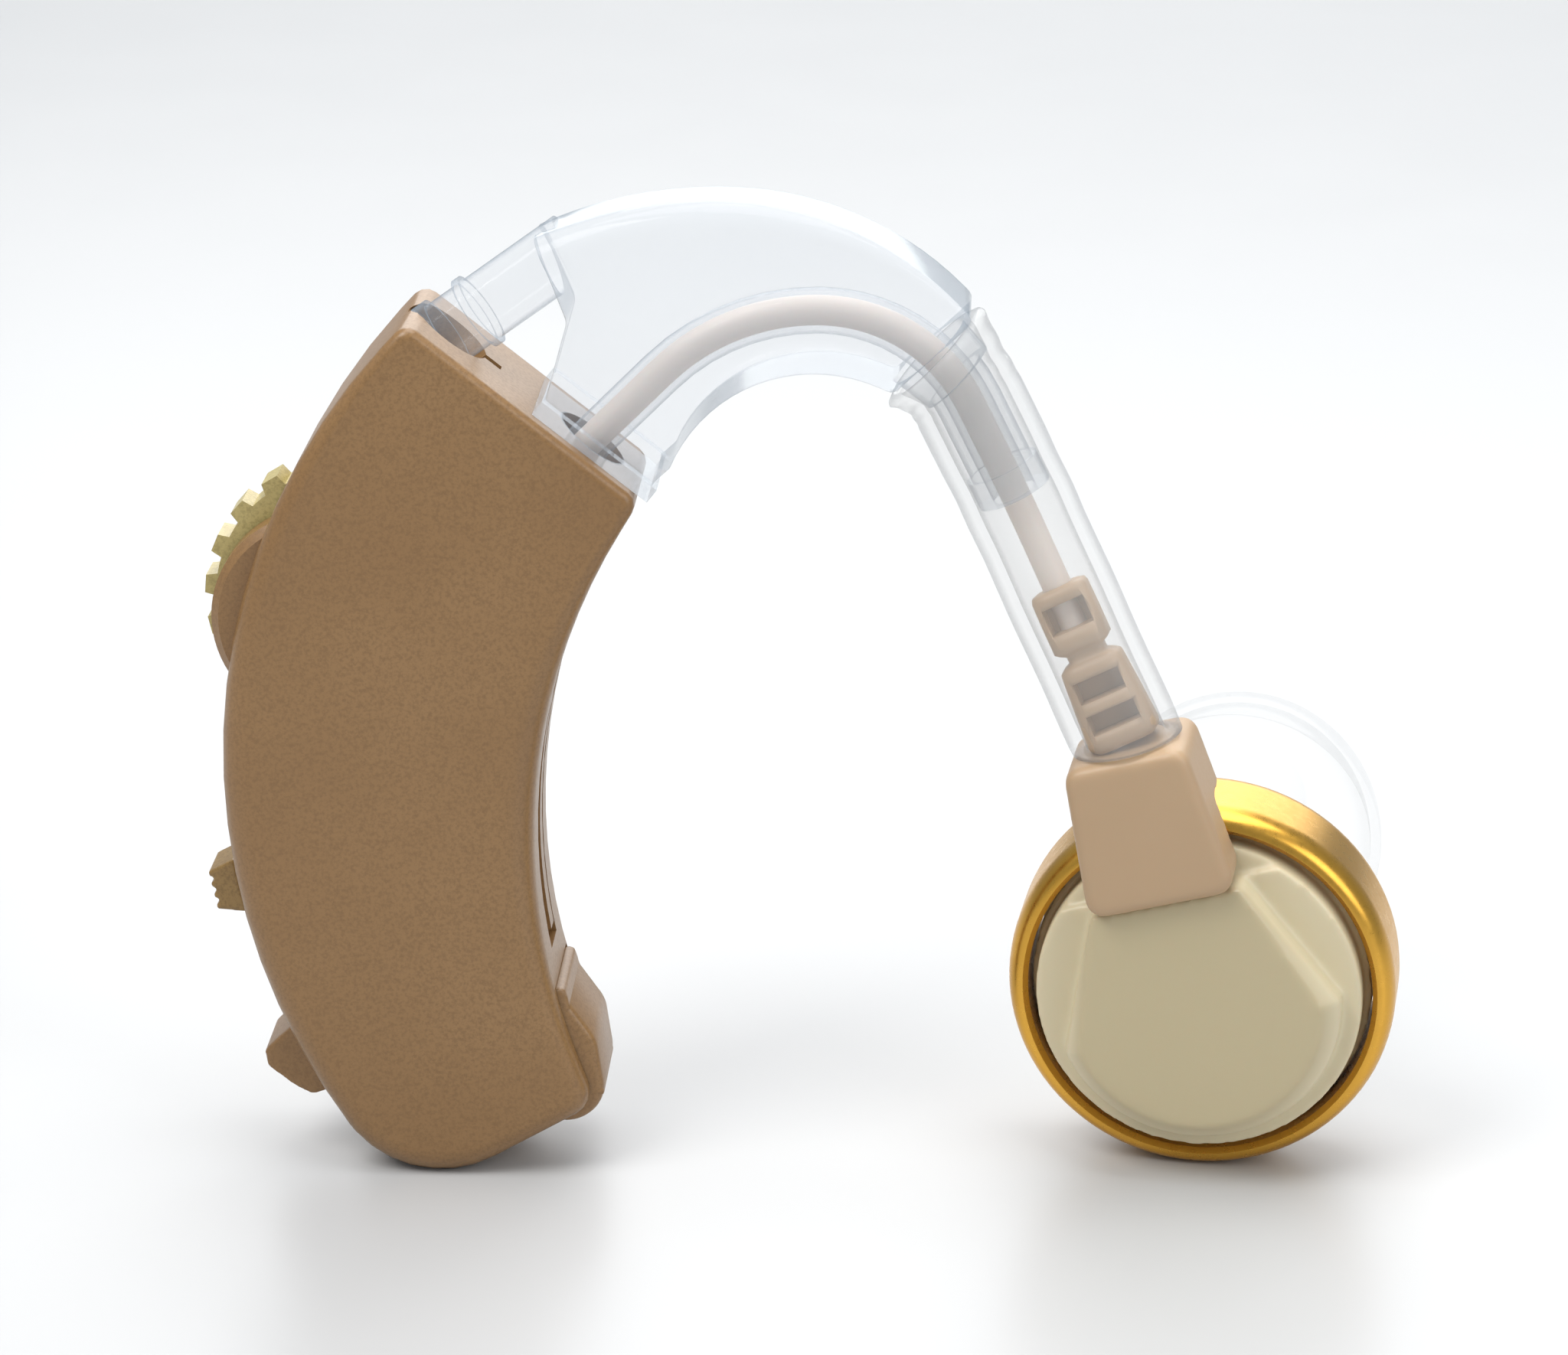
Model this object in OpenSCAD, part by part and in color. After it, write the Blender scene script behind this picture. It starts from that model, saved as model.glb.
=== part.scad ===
// Behind the ear hearing aid: a tan case with a clear ear hook, a soft clear sleeve and a wired
// button receiver. X runs from the case to the receiver, Y away from the near side, Z up. It stands
// on the nose of the case and on the receiver's ring. The origin is the middle of the box around it,
// at the floor.

/* [Case] */
// Thickness of the case, near face to far face
case_t = 9; // [8.8:0.1:10.5]
// Width of the case across its waist
case_w = 15.6; // [15.2:0.1:17]
// Wall of the two shells
wall = 1.2; // [1:0.05:1.3]
// Radius of the convex back
back_r = 33; // [31:0.5:36]
// Radius of the hollow front
front_r = 32.8; // [31:0.5:36]
// Radius of the round nose that it stands on
nose_r = 5.65; // [5.4:0.05:6]

/* [Controls] */
// Radius of the volume wheel over its teeth
wheel_r = 7; // [6.4:0.1:7.4]
// Thickness of the volume wheel
wheel_t = 2.2; // [1.8:0.1:2.4]
// Number of teeth round the volume wheel
wheel_teeth = 20; // [16:1:26]
// Travel of the switch knob through its three positions
knob_travel = 3.4; // [2.4:0.1:3.6]
// Width of the switch knob
knob_w = 3; // [2.4:0.1:3.6]

/* [Battery] */
// Radius of the button cell
cell_r = 5.8; // [5.7:0.05:5.85]
// Thickness of the button cell
cell_t = 5.4; // [5:0.1:5.5]
// Width of the battery door between the shells' cheeks
door_w = 6.3; // [6.1:0.05:6.4]

/* [Hook] */
// Thickness of the hook's plate
hook_t = 5.6; // [5.2:0.1:6.2]
// Radius of the bore for the lead
bore_r = 1.15; // [1:0.05:1.25]
// Radius of the lead
lead_r = 0.75; // [0.6:0.05:0.85]
// Radius of the lead's bend over the back half of the arch
arch_r = 11; // [10.5:0.25:12]
// Radius of the lead's bend down to the nozzle
drop_r = 8.3; // [8:0.1:9]
// Straight length of the nozzle
nozzle_len = 5.06; // [4.5:0.1:6]

/* [Sleeve] */
// Outer radius of the soft sleeve
sleeve_r = 2.8; // [2.7:0.05:3]
// Wall of the soft sleeve
sleeve_wall = 0.8; // [0.6:0.05:0.8]

/* [Receiver] */
// Radius of the gold ring
ring_r = 9.85; // [9.6:0.05:10.5]
// Depth of the gold ring, back rim to front rim
ring_t = 5.8; // [5.6:0.1:6.6]
// Lean of the plug away from upright, in degrees
plug_lean = 15.7; // [10:0.1:20]
// Turn of the receiver about the plug, in degrees
plug_twist = 8; // [0:0.5:12]
// Distance from the nozzle's end to the receiver's middle, along X
tail_reach = 10.1; // [9.6:0.1:11]

/* [Ear tip] */
// Radius of the ear tip's skirt
tip_r = 7.9; // [6:0.1:8.5]
// Length of the ear tip
tip_len = 21.6; // [18:0.2:23]
// Wall of the ear tip's skirt
tip_wall = 0.6; // [0.5:0.05:0.9]

/* [Hidden] */
$fn = 64;

// Clearances and overruns that all pieces share
over = 1;
span = 80;
fit = 0.03;
gap = 0.1;
soft_gap = 0.3;
skin_gap = 0.02;

// Case outline: a convex back arc and a hollow front arc, joined by the nose, the heel and the top
// end. The corners of the top end and the heel keep their height when a radius changes
back_left = -28;
nose_turn = 34.65;
top_end_z = 35.85;
top_slope = 38.26;
heel_z = 3.9;
front_waist_z = 17.6;
heel_slope = 31;
arc_trim_turn = 3;
heel_trim_turn = 4;
nose_trim_turn = 5;
top_corner_r = 0.8;
heel_corner_r = 1.3;
back_soft = 1;
top_soft = 0.5;
front_soft = 1.7;
nose_soft = 1.2;
heel_soft = 0.9;
half_t = case_t / 2;
inner_t = half_t - wall;
back_c = [back_left + back_r, nose_r + (back_r - nose_r) * sin(nose_turn)];
nose_c = back_c - (back_r - nose_r) * dir(nose_turn);
front_c = [back_left + case_w + front_r, front_waist_z];
top_front_turn = 180 - asin((top_end_z - front_waist_z) / front_r);
heel_turn = 180 + asin((front_waist_z - heel_z) / front_r);
top_end = front_c + front_r * dir(top_front_turn);
top_h = -top_slope;
top_start = meet(top_end, 180 - top_slope, back_c, back_r);
top_back_turn = heading(back_c, top_start);
heel = front_c + front_r * dir(heel_turn);
nose_end = nose_c + nose_r * dir(heel_slope - 90);

case_outline = concat(
    arc(back_c, back_r, 180 + nose_turn, top_back_turn + arc_trim_turn, 18,
        nose_soft, top_soft, back_soft - top_soft),
    corner(top_start, top_back_turn - 90, top_h, top_corner_r, 3, top_soft),
    corner(top_end, top_h, top_front_turn + 90 - 360, top_corner_r, 3, top_soft),
    arc(front_c, front_r, top_front_turn + arc_trim_turn, heel_turn - heel_trim_turn, 18,
        top_soft, heel_soft, front_soft - heel_soft),
    corner(heel, heel_turn + 90 - 360, heading(heel, nose_end), heel_corner_r, 4, heel_soft),
    arc(nose_c, nose_r, heel_slope - 90, nose_turn - 180 + nose_trim_turn, 7, nose_soft, nose_soft));

// Seam tongue down the hollow side, in its groove
seam_w = 2.6;
seam_depth = 0.35;
seam_from = 163;
seam_to = 191;
seam_trim_turn = 1;

// Volume wheel, its cheeks and its base
wheel_turn = 162.1;
wheel_sink = 4.73;
wheel_c = back_c + (back_r - wheel_sink) * dir(wheel_turn);
tooth_h = 0.55;
tooth_share = 0.5;
wheel_phase = 13;
wheel_gap = 0.2;
wheel_slot = wheel_t / 2 + wheel_gap;
cheek_turn = 164;
cheek_sink = 4;
cheek_r = 5.5;
cheek_t = 1.8;
cheek_edge = 0.4;
cheek_c = back_c + (back_r - cheek_sink) * dir(cheek_turn);
shaft_r = 1.1;
screw_head_r = 1.5;
screw_head_h = 0.5;
base_r = wheel_sink - wall - 2 * gap;
base_t = 0.55;

// Switch
knob_turn = 191.5;
knob_c = back_c + back_r * dir(knob_turn);
knob_len = 2.9;
knob_h = 1.75;
knob_lift = 0.3;
knob_neck_w = 1.6;
knob_neck_len = 1.4;
knob_rib = 0.18;
knob_ribs = 4;
knob_top_share = 0.62;
switch_w = 3.7;
switch_h = 2.2;
switch_len = knob_travel + 2 * knob_neck_len;
switch_top = wall + gap + pow(knob_travel + knob_neck_len, 2) / (2 * (back_r - wall));

// Battery bay. The door turns about its pin in the heel
cell_rise = 2.05;
cell_shift = 0.6;
cell_c = nose_c + [-cell_shift, cell_rise];
cell_fit = 0.1;
cell_cap_inset = 0.75;
cell_cap_h = 0.25;
pin_gap = 1.15;
pin_turn = -11.6;
pin_r = 0.5;
pin_c = cell_c + (cell_r + pin_gap) * dir(pin_turn);
pin_bite = 0.7;
door_ring = 0.45;
door_ring_w = 0.9 * cell_t;
door_tip_r = 3.5;
door_split = 169.5;
door_free_turn = -40;
door_reach = 2 * cell_r + pin_gap;
door_proud = 0.45;
knuckle_r = 1.9;
lug_turn = 207.4;
lug_h = 2.42;
lug_len = 3.6;
lug_w = 4.4;
blade_t = 0.2;
blade_w = 2.6;
blade_top = 18.4;
blade_shift = 0.7;

// Board and what it carries, all on its near face
board_t = 0.7;
board_gap = 0.7;
board_y = inner_t - board_gap - board_t;
board_low = 17;
board_high = 38.4;
board_edge = 0.4;
board_lead_r = 5.5;
boss_r = 1.5;
boss_depth = 2.4;
boss_clear = 0.35;
screw_r = 0.5;
case_screw_head_r = 1.1;
case_screw_head_h = 0.7;
screw_spots = [on_front(155.8, boss_depth), on_front(178.9, boss_depth)];
chip_size = [4.6, 1.1, 3.4];
chip_low = 18.8;
chip_shift = 0.9;
cap_r = 1.35;
cap_len = 2.2;
cap_gap = 0.25;
cap_turns = [169.3, 162.2];
resistor_size = [1.6, 0.5, 0.8];
resistor_spots = [[-3.6, -6.9], [-3.6, -5.6], [6.2, 3.6], [6.2, 5.2]];

// Microphone under its port in the top end
port_s = 4.4;
port_len = 1.8;
port_w = 0.6;
mic_size = [3.2, 2.2, 2.6];
mic_shift = 1.7;
boot_wall = 0.4;
mic_gap = 0.15;
mic_drop = wall + mic_gap;

// Lead: where it leaves the case, and its route through the hook
lead_s = 11;
lead_lean = 7;
lead_rise = 4.9;
lead_inside = 2.6;
spigot_r = 1.9;
spigot_len = 1.9;
lead_start_h = top_h + 90 - lead_lean;
drop_h = 63.5;
lead_exit = on_top(lead_s, 0);
lead_start = concat(lead_exit, [lead_start_h]);
lead_path = [["line", lead_rise], ["arc", arch_r, -lead_start_h], ["arc", drop_r, -drop_h],
    ["line", nozzle_len]];
bore_path = [["line", lead_rise + spigot_len + over], lead_path[1], lead_path[2],
    ["line", nozzle_len + over]];
apex = place_on(lead_path, lead_start, 2);
nozzle_end = place_on(lead_path, lead_start, 4);
drop_c = [apex.x, apex.y - drop_r];

// Ear hook plate
crown_h = 5.8;
crown_back = 4.9;
crown_back_r = 21.1;
crown_fore_r = 16.6;
crown_from = 115;
mouth_turn = 46.8;
mouth_gap = 0.2;
sole_h = 2.65;
sole_r = 7.85;
sole_from = 62;
sole_to = 157;
foot_from = 7.6;
foot_to = 14.7;
foot_t = 0.8;
foot_w = 7;
foot_step = 0.3;
hook_soft = 1.3;
hook_edge_soft = 0.3;
window_top = [6.2, 4.5];
leg_s = 1.9;
leg_sink = 1.1;
leg_turn = 74;
leg_r = 1.7;
leg_len = 8.4;
leg_ring_r = 1.95;
leg_ring_t = 0.8;
leg_collar_at = 2.6;
crown = [apex.x - crown_back, apex.y + crown_h];
sole_c = [apex.x, apex.y - sole_h - sole_r];
socket_wall = 0.3;

foot_left = on_top(foot_from + foot_step, foot_t / 2);
foot_right = on_top(foot_to - foot_step, foot_t / 2);
window_tip = on_top(window_top[0], window_top[1]);
crown_start = [crown.x, crown.y - crown_back_r] + crown_back_r * dir(crown_from);
crown_fore_c = [crown.x, crown.y - crown_fore_r];
crown_end = meet(drop_c + mouth_gap * dir(mouth_turn + 90), mouth_turn, crown_fore_c, crown_fore_r);
crown_to = heading(crown_fore_c, crown_end);
sole_start = sole_c + sole_r * dir(sole_from);
hook_outline = concat(
    [concat(foot_left, hook_edge_soft, dir(top_h))],
    between(foot_left, window_tip, crown_start, foot_t, 3, hook_edge_soft),
    arc([crown.x, crown.y - crown_back_r], crown_back_r, crown_from, 91, 8, hook_soft, hook_soft),
    arc(crown_fore_c, crown_fore_r, 89, crown_to + arc_trim_turn, 14, hook_soft, hook_edge_soft),
    corner(crown_end, crown_to - 90, heading(crown_end, sole_start), 1.5 * hook_edge_soft, 3,
        hook_edge_soft),
    corner(sole_start, heading(crown_end, sole_start), sole_from + 90, 1.5 * hook_edge_soft, 3,
        hook_edge_soft),
    arc(sole_c, sole_r, sole_from + nose_trim_turn, sole_to, 18,
        hook_edge_soft, hook_edge_soft, hook_edge_soft),
    [concat(foot_right, hook_edge_soft, -dir(top_h))]);

// Nozzle inside the sleeve
nozzle_r = 1.65;
collar_r = 2.3;
collar_len = 1.7;
bead_r = 1.9;
bead_len = 1.5;
sleeve_in = sleeve_r - sleeve_wall;

// Receiver, in its own frame: X across, Y along its axis to the front, Z up towards the plug
ring_wall = 1.1;
ring_band = 0.52 * ring_t;
ring_lip = 0.25;
ring_bore = ring_r - ring_wall;
rim_r = ring_bore + ring_lip;
axis_rise = sin(plug_twist) * sin(plug_lean);
receiver_y = 0.8;
receiver_h = ring_r * sqrt(1 - axis_rise * axis_rise) + ring_band / 2 * axis_rise;
receiver_c = [nozzle_end.x + tail_reach, receiver_y, receiver_h];
back_y = -ring_t / 2;
cover_r = ring_bore - 0.45 * ring_wall;
cover_edge_out = 0.6;
cover_face_out = 2.5;
cover_depth = 1.5;
cover_edge_y = back_y - cover_edge_out;
cover_face_y = back_y - cover_face_out;
cover_back_y = back_y + cover_depth;
seat_y = cover_back_y + gap;
plateau_r = 7.3;
plateau_turn = 10;
plateau_slope = 0.9;
front_y = ring_t / 2;
front_bowl_r = ring_bore - gap;
front_wall = 0.9;
front_cone_r = 4.4;
front_cone_h = 1.6;
front_cone_y = front_y + front_cone_h;
front_nozzle_r = 2.2;
front_nozzle_len = 6.2;
front_bead_r = 2.42;
sound_r = 1.2;
bowl_gap = 0.3;
bowl_y = front_y - bowl_gap - front_wall;
yoke_r = 6.2;
yoke_floor = 0.5;
yoke_wall = 1.1;
yoke_h = 1.9;
magnet_r = 3.4;
coil_r = 4.1;
coil_wall = 0.35;
foil_t = 0.12;
foil_step = 0.5;

// Plug, in the receiver's frame
plug_out = 0.9;
plug_y = cover_face_y - plug_out;
plug_low = 6.1;
plug_high = 14.1;
plug_low_half = 3.87;
plug_high_half = 3.1;
plug_t = 5.6;
plug_soft = 0.55;
plug_corner = 0.9;
plug_notch_gap = 0.4;
plug_notch_h = ring_r + plug_notch_gap;
plug_notch_in = 0.25;
plug_notch_y = back_y - plug_notch_in;
tail_y = plug_y + plug_t / 2;
plug_foot = [plug_low_half, plug_low];
plug_head = [plug_high_half, plug_high];
plug_side_h = heading(plug_head, plug_foot);
plug_outline = concat(
    corner(mirrored(plug_foot), 180, -plug_side_h, plug_corner, 4, plug_soft),
    corner(mirrored(plug_head), -plug_side_h, 0, plug_corner, 4, plug_soft),
    corner(plug_head, 0, plug_side_h, plug_corner, 4, plug_soft),
    corner(plug_foot, plug_side_h, -180, plug_corner, 4, plug_soft));
contact_r = 0.4;
contact_half = 1.3;
contact_shift = 0.9;
contact_y = tail_y - contact_shift;
contact_low = 2.6;
contact_bite = 2.4;
contact_high = plug_low + contact_bite;
socket_r = 0.7;
socket_floor = 0.6;
socket_low = contact_low - socket_floor;

// Strain relief blocks: low end, high end, low radius, high radius
relief_parts = [[0.5, 4.6, 1.86, 1.6], [5.3, 8.5, 1.5, 1.5]];
relief_neck_r = 1;
relief_t = 2.9;
relief_slots = [[1.1, 0.9, 1.25], [2.7, 1, 1.2], [6.5, 1.3, 1.1]];
relief_len = relief_parts[1][1];

// Sleeve stations on the bend, its flared mouth first: the turn, and what the outer and the inner
// radius have over the plain ones
flare_turns = [mouth_turn, mouth_turn - 6, mouth_turn - 12, 90 - drop_h];
flare_out = [0.42, 0.36, 0.18, 0];
flare_in = [0.5, 0.45, 0.3, 0.05];

// Ear tip, in the receiver's frame
tip_start = front_cone_y + gap;
tip_end = tip_start + tip_len;
tip_stem_r = 3.3;
tip_bore_gap = 0.08;
tip_bore_r = front_bead_r + tip_bore_gap;
tip_core_r = 2.2;
tip_dome_len = 8.2;
tip_steps = 14;

// Plane helpers. A point in the plane of the case is [x, z]. An outline runs clockwise, and each of
// its points adds the softness of its edge and the direction inwards
function dir(a) = [cos(a), sin(a)];
function heading(p, q) = atan2(q.y - p.y, q.x - p.x);
function on_top(s, h) = top_start + s * dir(top_h) + h * dir(top_h + 90);
function on_front(turn, depth) = front_c + (front_r + depth) * dir(turn);
// Where the ray from p along heading h leaves the circle
function meet(p, h, c, r) = let (v = p - c, b = v * dir(h))
    p + (sqrt(b * b - v * v + r * r) - b) * dir(h);
function arc(c, r, from, to, steps, soft_from, soft_to, swell = 0) = [for (i = [0:steps])
    let (share = i / steps, out = dir(from + (to - from) * share),
        soft = soft_from + (soft_to - soft_from) * share + swell * sin(180 * share))
    concat(c + r * out, soft, out * sign(to - from))];
function turn_between(h0, h1) = ((h1 - h0 + 180) % 360 + 360) % 360 - 180;
function corner(v, h0, h1, r, steps, soft) =
    let (turn = turn_between(h0, h1), side = sign(turn), back = r * tan(abs(turn) / 2),
        c = v - back * dir(h0) + r * dir(h0 + 90 * side))
    arc(c, r, h0 - 90 * side, h0 - 90 * side + turn, steps, soft, soft);
function between(p, v, q, r, steps, soft) =
    corner(v, heading(p, v), heading(v, q), r, steps, soft);
function mitre(v, h0, h1, depth) =
    v + depth * (dir(h0 - 90) + dir(h1 - 90)) / (1 + dir(h0) * dir(h1));
function flat(outline) = [for (p = outline) [p.x, p.y]];

// Route helpers. A route is a list of lines and arcs, and a place on it is [x, z, heading]
function step_on(part, at) = part[0] == "line"
    ? concat([at.x, at.y] + part[1] * dir(at.z), [at.z])
    : concat(bend_centre(part, at) + part[1] * dir(at.z + part[2] - 90 * sign(part[2])),
        [at.z + part[2]]);
function bend_centre(part, at) = [at.x, at.y] + part[1] * dir(at.z + 90 * sign(part[2]));
function place_on(route, start, count) = count == 0
    ? start
    : step_on(route[count - 1], place_on(route, start, count - 1));

// Where the whole part stands: the middle of its box comes over the origin
function tip_reach(share) = (tip_end - tip_dome_len) * share + tip_core_r * sqrt(1 - share * share)
    + norm([(tip_r - tip_core_r) * sqrt(1 - share * share), tip_dome_len * share]);
low_corner = [knob_c.x - knob_h - knob_rib,
    receiver_y + plug_y * cos(plug_twist) - plug_low_half * sin(plug_twist)];
high_corner = [receiver_c.x + tip_reach(receiver_front().x),
    receiver_c.y + tip_reach(receiver_front().y)];
module place() translate(-(low_corner + high_corner) / 2) children();

module slab(from, to) translate([0, to, 0]) rotate([90, 0, 0]) linear_extrude(to - from) children();
module disc(c, r, from, to, r2 = undef) translate([c.x, to, c.y]) rotate([90, 0, 0])
    cylinder(r1 = is_undef(r2) ? r : r2, r2 = r, h = to - from);
module at_point(p) translate([p.x, 0, p.y]) children();

// Ring sector about an axis along Y
module sector(c, r_in, r_out, from, to, y_from, y_to) translate([c.x, y_to, c.y]) rotate([90, 0, 0])
    rotate([0, 0, from]) rotate_extrude(angle = to - from, $fn = 180)
        translate([r_in, 0]) square([r_out - r_in, y_to - y_from]);

// A round tunnel along a route, as a skin over rings
function stops(route, start, turn = 7) = concat([start], [for (i = [1:len(route)])
    let (part = route[i - 1], from = place_on(route, start, i - 1),
        count = part[0] == "line" ? 1 : ceil(abs(part[2]) / turn))
    for (k = [1:count]) step_on([part[0], part[1], k == count ? part[2] : part[2] * k / count], from)]);
function across(p, d, r, sides) =
    let (a = cross(d, [0, 1, 0]) / norm(cross(d, [0, 1, 0])), b = cross(d, a) / norm(d))
    [for (i = [0:sides - 1]) p + r * cos(360 * i / sides) * a + r * sin(360 * i / sides) * b];
function ring_at(at, r, sides) = across([at.x, 0, at.y], [cos(at.z), 0, sin(at.z)], r, sides);
module tunnel(route, start, r, sides = 20) skin([for (at = stops(route, start)) ring_at(at, r, sides)]);

// A skin over rings of points, capped at both ends or closed on itself
module skin(rings, closed = false) {
    count = len(rings);
    m = len(rings[0]);
    points = [for (ring = rings, p = ring) p];
    sides = [for (j = [0:count - (closed ? 1 : 2)], i = [0:m - 1])
        let (next = (i + 1) % m, up = (j + 1) % count, a = j * m + i, b = j * m + next,
            c = up * m + next, d = up * m + i)
        each [[a, c, b], [a, d, c]]];
    caps = closed
        ? []
        : [[for (i = [0:m - 1]) i], [for (i = [m - 1:-1:0]) (count - 1) * m + i]];
    polyhedron(points = points, faces = concat(sides, caps), convexity = 8);
}

// A plate with the outline's own soft edge at y_from, and a soft or square edge at y_to. Its skin
// runs on past both faces, and the faces are cut flat
module soft_plate(outline, y_from, y_to, both = false, bend_steps = 4) {
    bend = [for (k = [0:bend_steps - 1]) let (a = 90 * k / bend_steps) [1 - cos(a), 1 - sin(a)]];
    past = [2, 0] - bend[bend_steps - 1];
    near = [for (b = concat([past], reversed(bend))) [b.x, y_from, b.y]];
    far = both ? [for (b = concat(bend, [past])) [b.x, y_to, -b.y]] : [[0, y_to + over, 0]];
    intersection() {
        skin([for (s = concat(near, far)) [for (p = outline)
            [p.x + p.z * s[0] * p[3], s[1] + p.z * s[2], p.y + p.z * s[0] * p[4]]]]);
        translate([-span, y_from, -span]) cube([2 * span, y_to - y_from, 2 * span]);
    }
}
function reversed(list) = [for (i = [len(list) - 1:-1:0]) list[i]];

// The receiver's frame
module on_receiver() translate(receiver_c) rotate([0, -plug_lean, 0]) rotate([0, 0, -plug_twist]) children();
function receiver_up() = [-sin(plug_lean), 0, cos(plug_lean)];
function receiver_front() =
    [sin(plug_twist) * cos(plug_lean), cos(plug_twist), sin(plug_twist) * sin(plug_lean)];
function in_receiver(y, z) = receiver_c + y * receiver_front() + z * receiver_up();
module spin() rotate([-90, 0, 0]) rotate_extrude($fn = 128) children();
module barrel(r, from, to) translate([0, from, 0]) rotate([-90, 0, 0]) cylinder(r = r, h = to - from);

// Case shells
module case_blank() {
    difference() {
        union() {
            soft_plate(case_outline, -half_t, 0);
            disc(cheek_c, cheek_r, -wheel_slot - cheek_t + cheek_edge, 0);
            disc(cheek_c, cheek_r - cheek_edge, -wheel_slot - cheek_t,
                -wheel_slot - cheek_t + cheek_edge, cheek_r);
        }
        slab(-inner_t, over) inside_case(wall);
        disc(wheel_c, wheel_r + soft_gap, -wheel_slot, over);
    }
}

module inside_case(depth) polygon(concat(
    flat(arc(back_c, back_r - depth, 180 + nose_turn, top_back_turn + arc_trim_turn, 18, 0, 0)),
    [mitre(top_start, top_back_turn - 90, top_h, depth)],
    [mitre(top_end, top_h, top_front_turn + 90, depth)],
    flat(arc(front_c, front_r + depth, top_front_turn + arc_trim_turn, heel_turn - heel_trim_turn,
        18, 0, 0)),
    [mitre(heel, heel_turn + 90, heading(heel, nose_end), depth)],
    flat(arc(nose_c, nose_r - depth, heel_slope - 90, nose_turn - 180 + nose_trim_turn, 7, 0, 0))));

module boss_inside(c, heading_a, r, depth) intersection() {
    soft_plate(case_outline, -half_t, 0);
    at_point(c) rotate([0, 90 - heading_a, 0]) translate([0, 0, -depth]) cylinder(r = r, h = depth + over);
}

leg_foot = on_top(leg_s, -leg_sink);
leg_h = top_h + leg_turn;

module shell() {
    difference() {
        union() {
            case_blank();
            boss_inside(leg_foot, leg_h, leg_ring_r + socket_wall, 2 * socket_wall);
            boss_inside(lead_exit, lead_start_h, spigot_r + 2 * socket_wall, spigot_len);
            for (c = screw_spots) slab(-inner_t - skin_gap, 0) translate(c) circle(r = boss_r);
        }
        at_point(leg_foot) rotate([0, 90 - leg_h, 0]) cylinder(r = leg_ring_r + gap, h = leg_len);
        at_point(lead_exit) rotate([0, 90 - lead_start_h, 0]) translate([0, 0, -spigot_len - over])
            cylinder(r = spigot_r + gap, h = spigot_len + 2 * over);
        at_point(on_top(port_s, 0)) rotate([0, -top_h, 0])
            cube([port_len, port_w, 2 * (wall + over)], center = true);
        battery_bay();
        switch_slot();
        sector(front_c, front_r - over, front_r + seam_depth, seam_from, seam_to, -seam_w / 2, over);
        disc(pin_c, pin_r + fit, -door_w / 2 - pin_bite, over);
    }
}

// Room for the door between the shells' cheeks, and for the cell and its ring in the hollow wall
module battery_bay() {
    slab(-door_w / 2 - gap, over) door_zone(gap);
    slab(-cell_t / 2 - gap, over) intersection() {
        translate(cell_c) circle(r = cell_r + door_ring + gap);
        translate(pin_c) circle(r = door_reach + gap);
    }
}

// The door's side view: below a line from the pin to the back, with the round tip over the pin
module door_zone(grow) {
    difference() {
        translate(pin_c) polygon([[0, 0],
            for (a = [door_split:12:360 + door_free_turn]) 2 * back_r * dir(a),
            2 * back_r * dir(door_free_turn)]);
        if (grow == 0) translate(pin_c) rotate(door_split) translate([0, -gap])
            square([2 * back_r, 2 * gap]);
    }
    translate(pin_c) circle(r = door_tip_r + grow);
    translate(pin_c) rotate(door_free_turn) square([2 * back_r, door_tip_r + grow]);
}

module switch_slot() at_knob() translate([-wall - over, 0, knob_travel / 2])
    cube([2 * (wall + over), knob_neck_w + 2 * gap, knob_neck_len + knob_travel + 2 * gap], center = true);

module at_knob() at_point(knob_c) rotate([0, 180 - knob_turn, 0]) mirror([1, 0, 0]) children();

module case_near() color("#a67c52") difference() {
    shell();
    for (c = screw_spots) disc(c, screw_r, -inner_t, over);
}

module case_far() color("#a67c52") {
    difference() {
        mirror([0, 1, 0]) shell();
        for (c = screw_spots) {
            disc(c, screw_r + gap, -over, half_t + over);
            disc(c, case_screw_head_r + gap, half_t - case_screw_head_h, half_t + over);
        }
    }
    sector(front_c, front_r + skin_gap, front_r + seam_depth + wall / 2, seam_from + seam_trim_turn,
        seam_to - seam_trim_turn, skin_gap, seam_w / 2 - gap);
}

module case_screws() color("silver") for (c = screw_spots) {
    disc(c, screw_r - fit, -inner_t + gap, half_t - case_screw_head_h + skin_gap);
    disc(c, case_screw_head_r, half_t - case_screw_head_h + skin_gap, half_t - gap);
}

module ear_hook() color([0.85, 0.92, 0.95, 0.45]) difference() {
    union() {
        soft_plate(hook_outline, -hook_t / 2, hook_t / 2, true);
        at_point(on_top(foot_from, 0)) rotate([0, -top_h, 0])
            translate([0, -foot_w / 2, skin_gap]) cube([foot_to - foot_from, foot_w, foot_t]);
        at_point(leg_foot) rotate([0, 90 - leg_h, 0]) {
            translate([0, 0, 2 * gap]) cylinder(r = leg_r, h = leg_len);
            translate([0, 0, gap]) cylinder(r = leg_ring_r, h = leg_ring_t);
            translate([0, 0, leg_collar_at]) cylinder(r = leg_ring_r, h = leg_ring_t / 2);
        }
        at_point(lead_exit) rotate([0, 90 - lead_start_h, 0]) translate([0, 0, -spigot_len])
            cylinder(r = spigot_r, h = spigot_len + foot_t);
        tunnel([lead_path[2], lead_path[3]], apex, nozzle_r, 28);
        nozzle_collar();
        at_place(place_on(lead_path, lead_start, 4)) translate([0, 0, fit - bead_len])
            cylinder(r = bead_r, h = bead_len);
    }
    tunnel(bore_path, concat(lead_exit - (spigot_len + over) * dir(lead_start_h), [lead_start_h]),
        bore_r);
}

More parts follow.
